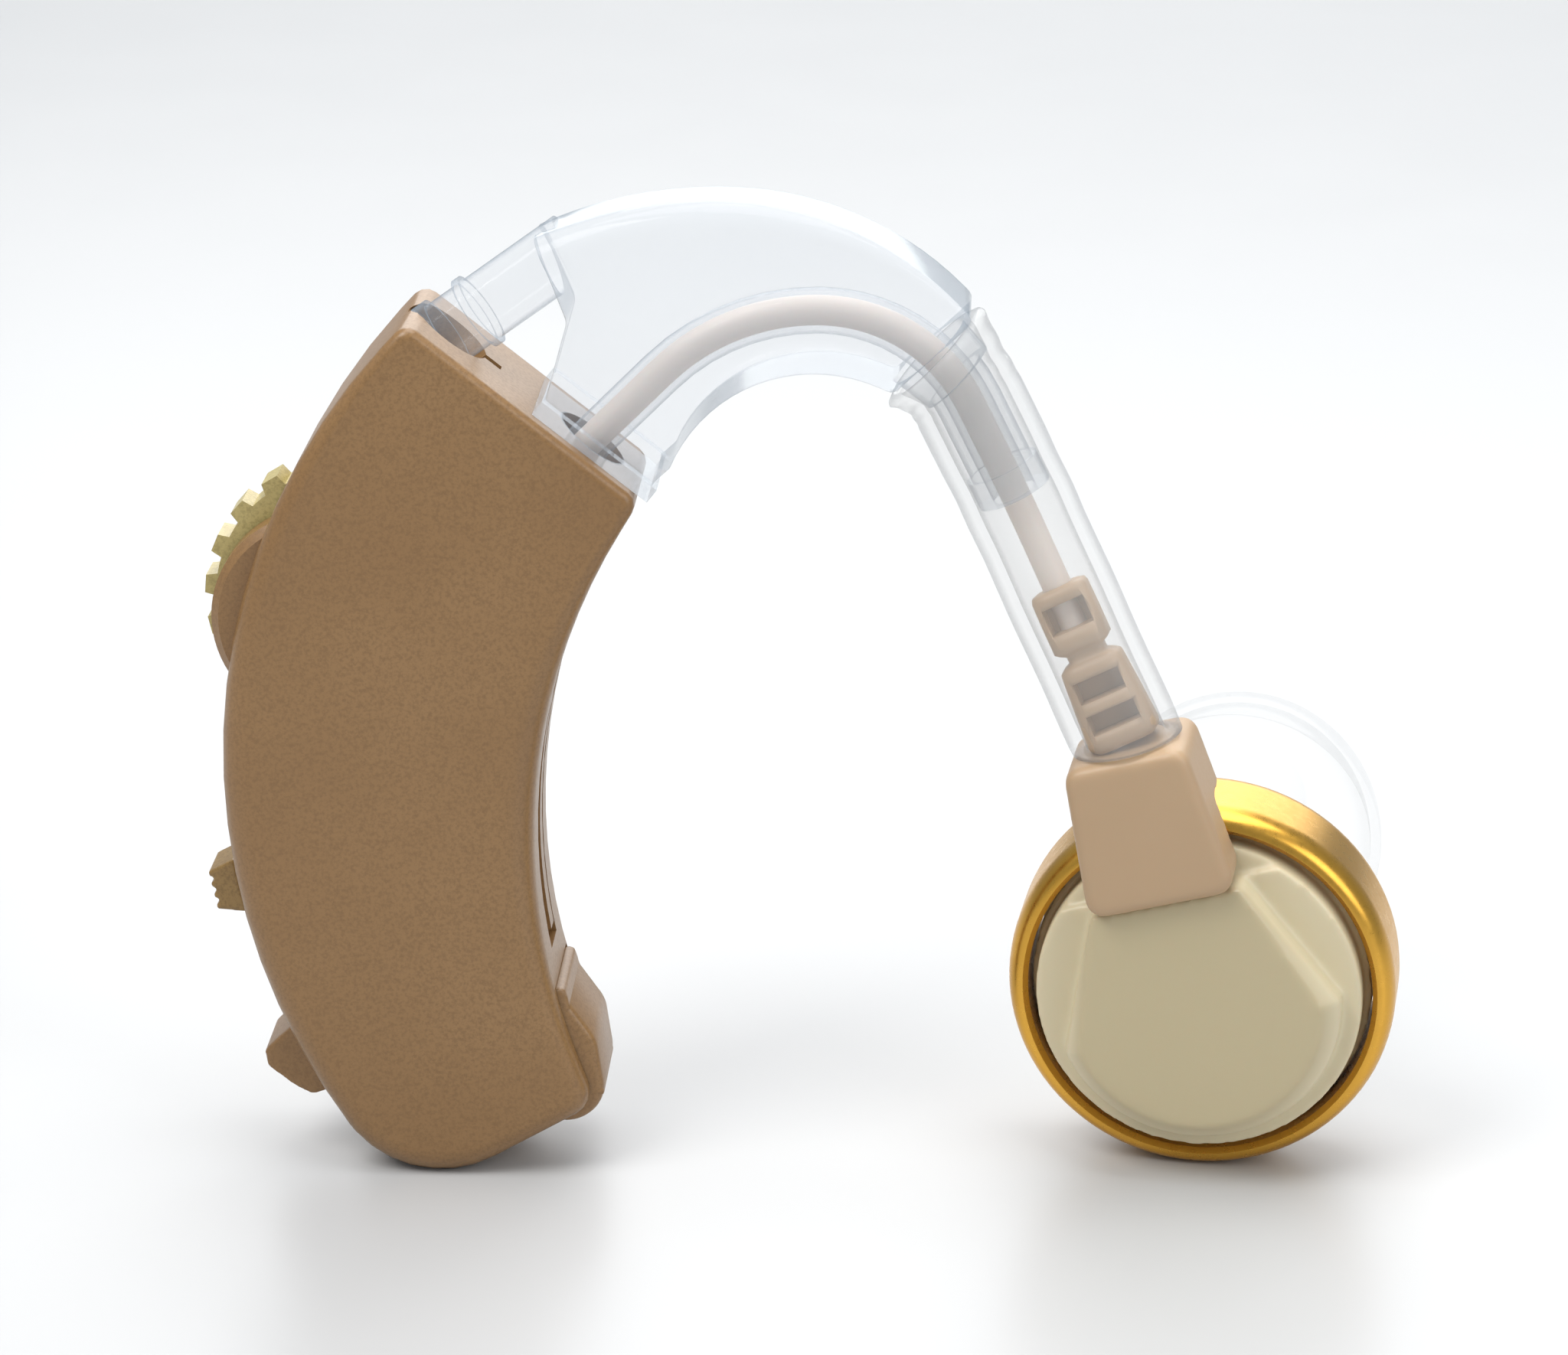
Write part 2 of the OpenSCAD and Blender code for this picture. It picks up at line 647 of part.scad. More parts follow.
module at_place(at) translate([at.x, 0, at.y]) rotate([0, 90 - at.z, 0]) children();

module nozzle_collar() at_place(concat(drop_c + drop_r * dir(mouth_turn), [mouth_turn - 90]))
    translate([0, 0, -collar_len / 2]) cylinder(r1 = collar_r, r2 = 0.9 * collar_r, h = 1.4 * collar_len);

tail_top = [nozzle_end.x, 0, nozzle_end.y];
tail_foot = in_receiver(tail_y, plug_high + skin_gap);
tail_dir = (tail_top - tail_foot) / norm(tail_top - tail_foot);
module on_tail() translate(tail_foot) rotate([0, atan2(tail_dir.x, tail_dir.z), 0])
    rotate([-asin(tail_dir.y), 0, 0]) children();

module lead() color("#d8c8b0") {
    sides = 16;
    route = stops([["line", lead_inside + lead_rise], lead_path[1], lead_path[2], lead_path[3]],
        concat(lead_exit - lead_inside * dir(lead_start_h), [lead_start_h]));
    bend = [cos(drop_h), 0, -sin(drop_h)] - tail_dir;
    skin(concat([for (i = [0:len(route) - 2]) ring_at(route[i], lead_r, sides)],
        [across(tail_top, bend, lead_r, sides),
        across(tail_foot + tail_dir * relief_len / 2, -tail_dir, lead_r, sides)]));
}

// Sleeve: round rings across its route, the outer skin down and the inner skin back
module sleeve() color([0.93, 0.94, 0.88, 0.4]) {
    sides = 24;
    low = in_receiver(tail_y, plug_high + gap);
    on_bend = [for (k = [0:len(flare_turns) - 1]) let (turn = flare_turns[k], p = drop_c + drop_r * dir(turn))
        [[p.x, 0, p.y], [sin(turn), 0, -cos(turn)], sleeve_r + flare_out[k], sleeve_in + flare_in[k]]];
    bend = [cos(drop_h), 0, -sin(drop_h)] - tail_dir;
    stations = concat(on_bend, [[tail_top, bend, sleeve_r, sleeve_in],
        [(tail_top + low) / 2, -tail_dir, sleeve_r, sleeve_in],
        [low, -receiver_up(), sleeve_r, sleeve_in]]);
    skin(concat([for (s = stations) across(s[0], s[1], s[2], sides)],
        [for (s = reversed(stations)) across(s[0], s[1], s[3], sides)]), true);
}

module strain_relief() color("#c9a684") on_tail() difference() {
    union() {
        for (part = relief_parts) intersection() {
            translate([0, 0, part[0]]) cylinder(r1 = part[2], r2 = part[3], h = part[1] - part[0]);
            translate([-plug_low_half, -relief_t / 2, part[0]])
                cube([2 * plug_low_half, relief_t, part[1] - part[0]]);
        }
        translate([0, 0, relief_parts[0][1] / 2])
            cylinder(r = relief_neck_r, h = relief_parts[1][0] - relief_parts[0][1] / 3);
    }
    for (s = relief_slots) translate([-s[2], -plug_t - lead_r - gap, s[0]])
        cube([2 * s[2], plug_t, s[1]]);
    translate([0, 0, relief_len / 2]) cylinder(r = lead_r, h = relief_len);
}

module plug_body() color("#c2a07e") on_receiver() difference() {
    soft_plate(plug_outline, plug_y, plug_y + plug_t, true);
    translate([-plug_t, plug_notch_y, 0]) cube([2 * plug_t, plug_t, plug_notch_h]);
    for (side = [-1, 1]) translate([side * contact_half, contact_y, 0])
        cylinder(r = contact_r, h = contact_high);
}

module plug_pins() color("gold") on_receiver() for (side = [-1, 1])
    translate([side * contact_half, contact_y, contact_low])
        cylinder(r = contact_r, h = contact_high - contact_low);

module receiver_ring() color("#cfa044") on_receiver() spin() polygon([
    [ring_bore, back_y + ring_lip], [rim_r, back_y],
    for (p = rim_curve()) [p.x, -p.y], for (p = reversed(rim_curve())) p,
    [rim_r, -back_y], [ring_bore, -back_y - ring_lip]]);
function rim_curve() = [for (a = [75:-15:0])
    [rim_r + (ring_r - rim_r) * cos(a), ring_band / 2 + (ring_t - ring_band) / 2 * sin(a)]];

plateau_corner = [plug_low_half, plug_low - gap];
plateau_join = plateau_r * dir(-plateau_turn);
plateau_side_h = heading(plateau_corner, plateau_join);
plateau_outline = concat(
    corner(mirrored(plateau_corner), -plateau_side_h, 0, 3 * gap, 2, gap / 2),
    corner(plateau_corner, 0, plateau_side_h, 3 * gap, 2, gap / 2),
    arc([0, 0], plateau_r, -plateau_turn, plateau_turn - 180, 24, plateau_slope, plateau_slope));
function mirrored(p) = [-p.x, p.y];

module receiver_cover() color("#cfc19c") on_receiver() difference() {
    union() {
        barrel(cover_r, cover_edge_y, cover_back_y);
        barrel(ring_bore - gap, cover_back_y - ring_lip, cover_back_y);
        soft_plate(plateau_outline, cover_face_y, cover_back_y - ring_lip, bend_steps = 1);
    }
    translate([-plug_t, plug_y - plug_t, plug_low - gap])
        cube([2 * plug_t, plug_t + plug_notch_y - plug_y + gap, plug_t]);
    for (side = [-1, 1]) translate([side * contact_half, contact_y, socket_low])
        cylinder(r = socket_r + fit, h = plug_high);
}

module receiver_sockets() color("gold") on_receiver() for (side = [-1, 1])
    translate([side * contact_half, contact_y, socket_low]) difference() {
        cylinder(r = socket_r, h = plug_low - 2 * gap - socket_low);
        translate([0, 0, contact_low - socket_low - gap]) cylinder(r = contact_r + fit, h = plug_high);
    }

module receiver_front() color("#cfc19c") on_receiver() difference() {
    spin() polygon([
        [0, bowl_y], [front_bowl_r - front_wall, bowl_y], [front_bowl_r - front_wall, seat_y],
        [front_bowl_r, seat_y], [front_bowl_r, front_y - ring_lip],
        [front_bowl_r - front_wall, front_y + ring_lip],
        [front_cone_r, front_cone_y], [front_nozzle_r, front_cone_y],
        [front_nozzle_r, front_cone_y + 0.7 * front_nozzle_len],
        [front_bead_r, front_cone_y + 0.8 * front_nozzle_len],
        [front_bead_r, front_cone_y + 0.9 * front_nozzle_len],
        [front_nozzle_r, front_cone_y + front_nozzle_len],
        [0, front_cone_y + front_nozzle_len]]);
    barrel(sound_r, 0, 2 * front_cone_y + front_nozzle_len);
}

module receiver_yoke() color("gray") on_receiver() difference() {
    barrel(yoke_r, seat_y, seat_y + yoke_h);
    difference() {
        barrel(yoke_r - yoke_wall, seat_y + yoke_floor, seat_y + yoke_h + over);
        barrel(magnet_r, 0 - 2 * ring_t, seat_y + yoke_floor);
    }
}

module receiver_magnet() color("dimgray") on_receiver()
    barrel(magnet_r, seat_y + yoke_floor, seat_y + yoke_h);

module voice_coil() color("#b87333") on_receiver() difference() {
    barrel(coil_r, seat_y + yoke_floor + soft_gap, bowl_y - foil_step - foil_t);
    barrel(coil_r - coil_wall, 0 - ring_t, bowl_y);
}

module diaphragm() color("#d9d2c0") on_receiver() spin() polygon([
    [0, bowl_y - foil_step - foil_t], [coil_r, bowl_y - foil_step - foil_t],
    [yoke_r, bowl_y - gap - foil_t], [front_bowl_r - front_wall - fit, bowl_y - gap - foil_t],
    [front_bowl_r - front_wall - fit, bowl_y - gap], [yoke_r, bowl_y - gap],
    [coil_r, bowl_y - foil_step], [0, bowl_y - foil_step]]);

// The skirt's curve: an ellipse from the far end back to the open rim, drawn inwards by depth
function skirt(depth) = [for (i = [0:tip_steps]) let (a = 90 * i / tip_steps)
    [tip_core_r + (tip_r - tip_core_r - depth) * sin(a),
        tip_end - tip_dome_len + (tip_dome_len - depth) * cos(a)]];

module ear_tip() color([0.95, 0.95, 0.95, 0.35]) on_receiver() spin() polygon(concat(
    [[sound_r, tip_end]], skirt(0), reversed([for (p = skirt(tip_wall)) if (p.x > tip_stem_r) p]),
    [[tip_stem_r, tip_end - 1.6 * tip_wall - tip_wall], [tip_stem_r, tip_start],
    [tip_bore_r, tip_start], [tip_bore_r, tip_start + front_nozzle_len + gap],
    [sound_r, tip_start + front_nozzle_len + gap]]));

module volume_wheel() color("#c9c07a") difference() {
    union() {
        disc(wheel_c, wheel_r - tooth_h, -wheel_t / 2, wheel_t / 2);
        slab(-wheel_t / 2, wheel_t / 2) translate(wheel_c) for (i = [0:wheel_teeth - 1])
            rotate(wheel_phase + 360 * i / wheel_teeth) tooth();
    }
    disc(wheel_c, shaft_r + fit, -wheel_t, wheel_t);
    disc(wheel_c, screw_head_r + fit, -wheel_t, -wheel_t / 2 + screw_head_h);
}

module tooth() {
    pitch = 2 * PI * wheel_r / wheel_teeth;
    polygon([[wheel_r - 2 * tooth_h, -pitch * tooth_share / 1.6], [wheel_r, -pitch * tooth_share / 2.4],
        [wheel_r, pitch * tooth_share / 2.4], [wheel_r - 2 * tooth_h, pitch * tooth_share / 1.6]]);
}

module wheel_screw() color("silver") {
    disc(wheel_c, screw_head_r, -wheel_t / 2 + gap, -wheel_t / 2 + screw_head_h - skin_gap);
    disc(wheel_c, screw_r, -wheel_t / 2 + screw_head_h - skin_gap, wheel_t / 2);
}

module volume_base() color("#5b4632") difference() {
    union() {
        disc(wheel_c, base_r, board_y - base_t, board_y - skin_gap);
        disc(wheel_c, shaft_r, -wheel_t / 2 + screw_head_h + skin_gap, board_y - skin_gap);
    }
    disc(wheel_c, screw_r + fit, -wheel_t, wheel_t / 2 + skin_gap);
}

module switch_knob() color("#bda87a") at_knob() {
    translate([-switch_top - switch_h / 3, -knob_neck_w / 2, -knob_neck_len / 2])
        cube([switch_top + switch_h / 3 + knob_lift + skin_gap, knob_neck_w, knob_neck_len]);
    translate([0, knob_w / 2, 0]) rotate([90, 0, 0]) linear_extrude(knob_w) knob_profile();
}

// Side view of the knob: X away from the case, Y along the travel
module knob_profile() {
    ribs_len = knob_len * knob_top_share;
    half = ribs_len / knob_ribs / 4;
    low = knob_h - knob_rib;
    polygon(concat([[knob_lift, knob_len / 2], [knob_lift, -knob_len / 2]],
        [for (i = [0:knob_ribs - 1]) let (y = -ribs_len / 2 + ribs_len * i / (knob_ribs - 1))
            each [[low, y - 1.6 * half], [knob_h, y - half], [knob_h, y + half], [low, y + 1.6 * half]]]));
}

module switch_body() color("#3f3a36") at_knob() difference() {
    translate([-switch_top - switch_h, -switch_w / 2, knob_travel / 2 - switch_len / 2])
        cube([switch_h, switch_w, switch_len]);
    translate([-switch_top, 0, knob_travel / 2])
        cube([switch_h, knob_neck_w + 2 * gap, knob_neck_len + knob_travel + 2 * gap], center = true);
}

module battery_door() color("#a67c52") difference() {
    union() {
        slab(-door_w / 2, door_w / 2) door_side();
        slab(-door_ring_w / 2, door_ring_w / 2) intersection() {
            translate(cell_c) circle(r = cell_r + door_ring);
            translate(pin_c) circle(r = door_reach);
        }
        nail_lug();
    }
    disc(cell_c, cell_r + cell_fit, -door_w, door_w);
    disc(pin_c, pin_r + fit, -door_w, door_w);
}

module door_side() {
    intersection() {
        union() {
            polygon(flat(case_outline));
            polygon(concat(flat(arc(front_c, front_r - door_proud, seam_to, heel_turn, 9, 0, 0)),
                flat(arc(front_c, front_r + wall, heel_turn, seam_to, 9, 0, 0))));
        }
        door_zone(0);
    }
    translate(pin_c) circle(r = knuckle_r);
}

module nail_lug() slab(-lug_w / 2, lug_w / 2) translate(back_c) rotate(lug_turn) polygon([
    [back_r - wall, -0.5 * lug_len], [back_r + 0.5 * lug_h, -0.32 * lug_len],
    [back_r + 0.88 * lug_h, -0.24 * lug_len], [back_r + lug_h, -0.02 * lug_len],
    [back_r + 0.7 * lug_h, 0.42 * lug_len], [back_r + 0.45 * lug_h, 0.66 * lug_len],
    [back_r - wall, 0.75 * lug_len]]);

module door_pin() color("silver")
    disc(pin_c, pin_r, -door_w / 2 - pin_bite + fit, door_w / 2 + pin_bite - fit);

module battery_cell() color("#c8c8c4") {
    disc(cell_c, cell_r, -cell_t / 2 + cell_cap_h, cell_t / 2);
    disc(cell_c, cell_r - cell_cap_inset, -cell_t / 2, -cell_t / 2 + cell_cap_h);
}

module contact_blade(side) {
    y = side * (cell_t / 2 + skin_gap + blade_t / 2);
    translate([cell_c.x - blade_w / 2 - blade_shift, y - blade_t / 2, cell_c.y + cell_r / 4])
        cube([blade_w, blade_t, blade_top - cell_c.y - cell_r / 4]);
}

module contact_positive() color("gold") contact_blade(1);

module contact_negative() color("gold") {
    contact_blade(-1);
    translate([cell_c.x - blade_w / 2 - blade_shift, -cell_t / 2 - blade_t, blade_top - blade_t])
        cube([blade_w / 2, cell_t / 2 + blade_t + board_y - skin_gap, blade_t]);
}

module circuit_board() color("#2f6b3a") slab(board_y, board_y + board_t) difference() {
    intersection() {
        inside_case(wall + board_edge);
        translate([back_left, board_low]) square([2 * case_w, board_high - board_low]);
    }
    for (c = screw_spots) translate(c) circle(r = boss_r + boss_clear);
    translate(lead_exit) circle(r = board_lead_r);
    translate(on_top(port_s, -mic_drop)) circle(r = mic_size.x);
    translate(leg_foot) circle(r = leg_ring_r + 2 * wall);
}

module on_board(x, z, size) translate([x, board_y - skin_gap - size.y, z]) cube(size);

module amplifier_chip() color("#202020") on_board(wheel_c.x + chip_shift, chip_low, chip_size);

module capacitors() color("#a8763e") for (turn = cap_turns)
    disc(on_front(turn, wall + cap_r + cap_gap), cap_r, board_y - skin_gap - cap_len, board_y - skin_gap);

module resistors() color("#303030") for (p = resistor_spots)
    on_board(wheel_c.x + p.x, wheel_c.y + p.y, resistor_size);

module at_mic() at_point(on_top(port_s + mic_shift, -mic_drop)) rotate([0, -top_h, 0]) children();

module microphone() color("silver") at_mic()
    translate([-mic_size.x / 2, -mic_size.y / 2, -boot_wall - mic_size.z - skin_gap]) cube(mic_size);

module microphone_boot() color("#303030") at_mic() difference() {
    translate([-mic_size.x / 2 - boot_wall, -mic_size.y / 2 - boot_wall, -boot_wall - mic_size.z / 2])
        cube([mic_size.x + 2 * boot_wall, mic_size.y + 2 * boot_wall, boot_wall + mic_size.z / 2]);
    translate([-mic_size.x / 2 - skin_gap, -mic_size.y / 2 - skin_gap, -boot_wall - mic_size.z])
        cube([mic_size.x + 2 * skin_gap, mic_size.y + 2 * skin_gap, mic_size.z]);
    translate([-mic_shift, 0, 0]) cube([port_len, port_w, 2 * over], center = true);
}

place() case_near();
place() case_far();
place() case_screws();
place() ear_hook();
place() lead();
place() sleeve();
place() strain_relief();
place() plug_body();
place() plug_pins();
place() receiver_ring();
place() receiver_cover();
place() receiver_front();
place() receiver_sockets();
place() receiver_yoke();
place() receiver_magnet();
place() voice_coil();
place() diaphragm();
place() ear_tip();
place() volume_wheel();
place() wheel_screw();
place() volume_base();
place() switch_knob();
place() switch_body();
place() battery_door();
place() door_pin();
place() battery_cell();
place() contact_positive();
place() contact_negative();
place() circuit_board();
place() amplifier_chip();
place() capacitors();
place() resistors();
place() microphone();
place() microphone_boot();
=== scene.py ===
import math

import bmesh
import bpy
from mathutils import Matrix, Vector


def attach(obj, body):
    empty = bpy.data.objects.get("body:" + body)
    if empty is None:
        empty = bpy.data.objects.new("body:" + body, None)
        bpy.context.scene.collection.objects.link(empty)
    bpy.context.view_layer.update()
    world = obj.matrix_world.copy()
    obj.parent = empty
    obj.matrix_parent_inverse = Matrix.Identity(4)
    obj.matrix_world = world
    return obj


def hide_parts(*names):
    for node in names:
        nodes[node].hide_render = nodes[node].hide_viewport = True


MM = 0.001
FRAME_WIDTH = 2048
SENSOR = 36.0
FOCAL_PIXELS = 6240.0
CAMERA_PLACE = (8.659, -238.592, 99.774)
CAMERA_PITCH = 18.0
CAMERA_YAW = 2.5
BLACK = (0.0, 0.0, 0.0)
WHITE = (1.0, 1.0, 1.0)

# Route of the lead, in the middle plane of the case: [x, z] in mm and headings in degrees
SHIFT = Vector((-1.299, -10.5563, 0.0))
LEAD_EXIT = Vector((-9.49, 0.0, 37.929))
LEAD_START_TURN = 44.74
LEAD_INSIDE = 2.6
LEAD_RISE = 4.9
LEAD_R = 0.75
ARCH_C = Vector((1.733, 0.0, 33.564))
ARCH_R = 11.0
DROP_C = Vector((1.733, 0.0, 36.264))
DROP_R = 8.3
DROP_TURN = 63.5
TAIL_TOP = Vector((11.419, 0.0, 35.44))
TAIL_FOOT = Vector((17.229, -2.666, 23.361))
TAIL_BEND = 2.4
SLEEVE_R = 2.8
SLEEVE_WALL = 0.8
MOUTH_TURN = 46.8
RECEIVER_C = Vector((21.519, 0.8, 9.9))
RECEIVER_UP = Vector((-0.2706, 0.0, 0.9627))
RECEIVER_FRONT = Vector((0.13398, 0.99027, 0.03766))
COVER_TOP = 5.95
COVER_SLOPE_END = 4.7

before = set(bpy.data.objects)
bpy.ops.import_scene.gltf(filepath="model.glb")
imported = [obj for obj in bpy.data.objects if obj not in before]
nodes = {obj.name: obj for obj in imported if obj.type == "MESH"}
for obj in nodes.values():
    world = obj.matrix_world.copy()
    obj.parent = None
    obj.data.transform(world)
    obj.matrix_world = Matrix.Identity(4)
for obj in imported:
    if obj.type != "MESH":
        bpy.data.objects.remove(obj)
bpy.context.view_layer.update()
scene = bpy.context.scene


def make_camera():
    data = bpy.data.cameras.new("camera")
    data.sensor_fit = "HORIZONTAL"
    data.sensor_width = SENSOR
    data.lens = SENSOR * FOCAL_PIXELS / FRAME_WIDTH
    data.clip_start = 0.01
    data.clip_end = 20.0
    camera = bpy.data.objects.new("camera", data)
    camera.location = Vector(CAMERA_PLACE) * MM
    camera.rotation_euler = (math.radians(90.0 - CAMERA_PITCH), 0.0, math.radians(CAMERA_YAW))
    scene.collection.objects.link(camera)
    scene.camera = camera


def area_light(name, place, size, power, colour, aim=(0.0, 0.0, 20.0), height=None):
    data = bpy.data.lights.new(name, "AREA")
    data.shape = "RECTANGLE"
    data.size = size * MM
    data.size_y = (height or size) * MM
    data.energy = power
    data.color = colour
    light = bpy.data.objects.new(name, data)
    light.location = Vector(place) * MM
    light.rotation_euler = (Vector(aim) - Vector(place)).to_track_quat("-Z", "Y").to_euler()
    scene.collection.objects.link(light)


def make_lights():
    area_light("key", (-240.0, -200.0, 400.0), 240.0, 1.35, (1.0, 0.99, 0.97))
    area_light("top", (30.0, 40.0, 480.0), 380.0, 1.7, (1.0, 1.0, 1.0))
    area_light("fill", (340.0, -260.0, 240.0), 300.0, 0.7, (0.98, 0.99, 1.0))
    area_light("back", (40.0, 420.0, 200.0), 420.0, 0.6, (1.0, 1.0, 1.0), height=240.0)
    area_light("far_floor", (0.0, 420.0, 420.0), 340.0, 0.75, (1.0, 1.0, 1.0), aim=(0.0, 330.0, 0.0))
    world = bpy.data.worlds.new("world")
    world.use_nodes = True
    background = world.node_tree.nodes["Background"]
    background.inputs["Color"].default_value = (0.86, 0.93, 1.0, 1.0)
    background.inputs["Strength"].default_value = 0.42
    scene.world = world
    scene.view_settings.view_transform = "Standard"


class Shader:
    """A node tree in the making: each call adds a node and hands back its output."""

    def __init__(self, name):
        self.material = bpy.data.materials.new(name)
        self.material.use_nodes = True
        self.tree = self.material.node_tree
        self.tree.nodes.clear()
        self.out = self.tree.nodes.new("ShaderNodeOutputMaterial")
        self.bsdf = self.tree.nodes.new("ShaderNodeBsdfPrincipled")
        self.tree.links.new(self.bsdf.outputs[0], self.out.inputs[0])
        self.coords = self.tree.nodes.new("ShaderNodeTexCoord").outputs["Object"]

    def link(self, output, node, name):
        self.tree.links.new(output, node.inputs[name])

    def put(self, name, value):
        self.bsdf.inputs[name].default_value = value

    def stretched(self, scale, turn=0.0):
        node = self.tree.nodes.new("ShaderNodeMapping")
        node.inputs["Scale"].default_value = scale
        node.inputs["Rotation"].default_value = (0.0, math.radians(turn), 0.0)
        self.link(self.coords, node, "Vector")
        return node.outputs[0]

    def noise(self, scale, detail=4.0, roughness=0.55, vector=None):
        node = self.tree.nodes.new("ShaderNodeTexNoise")
        node.inputs["Scale"].default_value = scale
        node.inputs["Detail"].default_value = detail
        node.inputs["Roughness"].default_value = roughness
        self.link(vector or self.coords, node, "Vector")
        return node.outputs["Fac"]

    def cells(self, scale, vector=None):
        node = self.tree.nodes.new("ShaderNodeTexVoronoi")
        node.inputs["Scale"].default_value = scale
        self.link(vector or self.coords, node, "Vector")
        return node.outputs["Distance"]

    def edge_on(self):
        """Nought where the surface is seen square on, one where it is seen along its face."""
        node = self.tree.nodes.new("ShaderNodeLayerWeight")
        node.inputs["Blend"].default_value = 0.5
        return self.ramp(node.outputs["Facing"], [(0.45, BLACK), (0.95, WHITE)])

    def along(self, way, start, end):
        """Nought to one between two distances in mm from the frame's origin, measured along a way."""
        node = self.tree.nodes.new("ShaderNodeVectorMath")
        node.operation = "DOT_PRODUCT"
        node.inputs[1].default_value = way
        self.link(self.coords, node, 0)
        span = self.tree.nodes.new("ShaderNodeMapRange")
        span.inputs["From Min"].default_value = start * MM
        span.inputs["From Max"].default_value = end * MM
        self.link(node.outputs["Value"], span, "Value")
        return span.outputs["Result"]

    def ramp(self, value, stops):
        node = self.tree.nodes.new("ShaderNodeValToRGB")
        elements = node.color_ramp.elements
        while len(elements) < len(stops):
            elements.new(0.5)
        for element, (place, colour) in zip(elements, stops):
            element.position = place
            element.color = (*colour, 1.0)
        self.link(value, node, "Fac")
        return node.outputs["Color"]

    def spread(self, value, low, high):
        node = self.tree.nodes.new("ShaderNodeMapRange")
        node.inputs["To Min"].default_value = low
        node.inputs["To Max"].default_value = high
        self.link(value, node, "Value")
        return node.outputs["Result"]

    def times(self, first, second, share):
        """The product of two masks, scaled to the share that it may cover."""
        node = self.tree.nodes.new("ShaderNodeMath")
        node.operation = "MULTIPLY"
        self.tree.links.new(first, node.inputs[0])
        self.tree.links.new(second, node.inputs[1])
        return self.spread(node.outputs[0], 0.0, share)

    def mix(self, factor, first, second):
        node = self.tree.nodes.new("ShaderNodeMix")
        node.data_type = "RGBA"
        for socket, value in ((6, first), (7, second)):
            if isinstance(value, tuple):
                node.inputs[socket].default_value = (*value, 1.0)
            else:
                self.tree.links.new(value, node.inputs[socket])
        self.tree.links.new(factor, node.inputs[0])
        return node.outputs[2]

    def bump(self, heights):
        """Heights are (value, strength, distance in mm) laid on each other."""
        normal = None
        for value, strength, distance in heights:
            node = self.tree.nodes.new("ShaderNodeBump")
            node.inputs["Strength"].default_value = strength
            node.inputs["Distance"].default_value = distance * MM
            self.link(value, node, "Height")
            if normal:
                self.link(normal, node, "Normal")
            normal = node.outputs["Normal"]
        self.link(normal, self.bsdf, "Normal")


def rgb(red, green, blue):
    """A colour read from the photograph, 0 to 255, as the linear one that the renderer takes."""
    shares = (red / 255.0, green / 255.0, blue / 255.0)
    return tuple(c / 12.92 if c <= 0.04045 else ((c + 0.055) / 1.055) ** 2.4 for c in shares)


def case_paint(name, base, dark, light):
    """Satin moulded shell: soft clouds, a fine grain, short pale scratches and a few dark specks."""
    s = Shader(name)
    cloud = s.noise(90.0, 4.0, 0.5)
    grain = s.noise(5200.0, 2.0, 0.7)
    scratch = s.noise(900.0, 2.0, 0.5, s.stretched((1.0, 1.0, 0.12), 24.0))
    patch = s.noise(60.0, 2.0, 0.5)
    colour = s.ramp(cloud, [(0.25, dark), (0.5, base), (0.85, light)])
    speckle = s.ramp(grain, [(0.42, BLACK), (0.66, (0.7, 0.7, 0.7))])
    colour = s.mix(speckle, colour, tuple(0.8 * c for c in dark))
    worn = s.ramp(scratch, [(0.7, BLACK), (0.76, WHITE)])
    place = s.ramp(patch, [(0.5, BLACK), (0.6, WHITE)])
    colour = s.mix(s.times(worn, place, 0.3), colour, light)
    speck = s.ramp(s.cells(260.0), [(0.02, WHITE), (0.035, BLACK)])
    colour = s.mix(s.times(speck, place, 0.5), colour, rgb(96, 66, 44))
    s.link(colour, s.bsdf, "Base Color")
    s.link(s.spread(grain, 0.3, 0.42), s.bsdf, "Roughness")
    s.put("Coat Weight", 0.15)
    s.put("Coat Roughness", 0.3)
    s.bump([(grain, 0.16, 0.012), (s.noise(1300.0, 3.0), 0.1, 0.03), (worn, 0.2, 0.01)])
    return s.material


def clear_plastic(name, body, rim, veil, edge, rough):
    """See-through moulding: a faint milky veil square on; where it turns away it is painted deeper in colour
    and made denser, for the longer path through the wall and as painted shade for the dark surroundings seen
    through its edges.
    Veil and edge are the shares of light that it stops at those two places."""
    s = Shader(name)
    flow = s.noise(180.0, 3.0, 0.5, s.stretched((1.0, 1.0, 0.35), 30.0))
    fine = s.noise(900.0, 3.0)
    turned = s.edge_on()
    pale = s.mix(s.spread(flow, 0.0, 0.6), body, tuple(0.95 * c for c in body))
    # painted shade: the colour turns to the rim colour where the surface is seen edge on, standing in for
    # dark surroundings seen through the edges
    s.link(s.mix(turned, pale, rim), s.bsdf, "Base Color")
    s.link(s.spread(turned, veil, edge), s.bsdf, "Alpha")
    s.link(s.spread(fine, rough * 0.7, rough * 1.5), s.bsdf, "Roughness")
    s.put("Coat Weight", 0.4)
    s.put("Coat Roughness", 0.08)
    s.bump([(flow, 0.1, 0.1), (fine, 0.05, 0.01)])
    return s.material


def metal(name, base, dark, rough, brushed=(1.0, 1.0, 1.0)):
    """Plated metal with a satin brush and patches of duller plating."""
    s = Shader(name)
    cloud = s.noise(200.0, 4.0)
    brush = s.noise(2200.0, 3.0, 0.6, s.stretched(brushed))
    s.link(s.mix(s.spread(cloud, 0.1, 0.7), base, dark), s.bsdf, "Base Color")
    s.put("Metallic", 1.0)
    s.link(s.spread(brush, rough * 0.7, rough * 1.4), s.bsdf, "Roughness")
    s.bump([(brush, 0.12, 0.015), (s.noise(500.0, 2.0), 0.06, 0.04)])
    return s.material


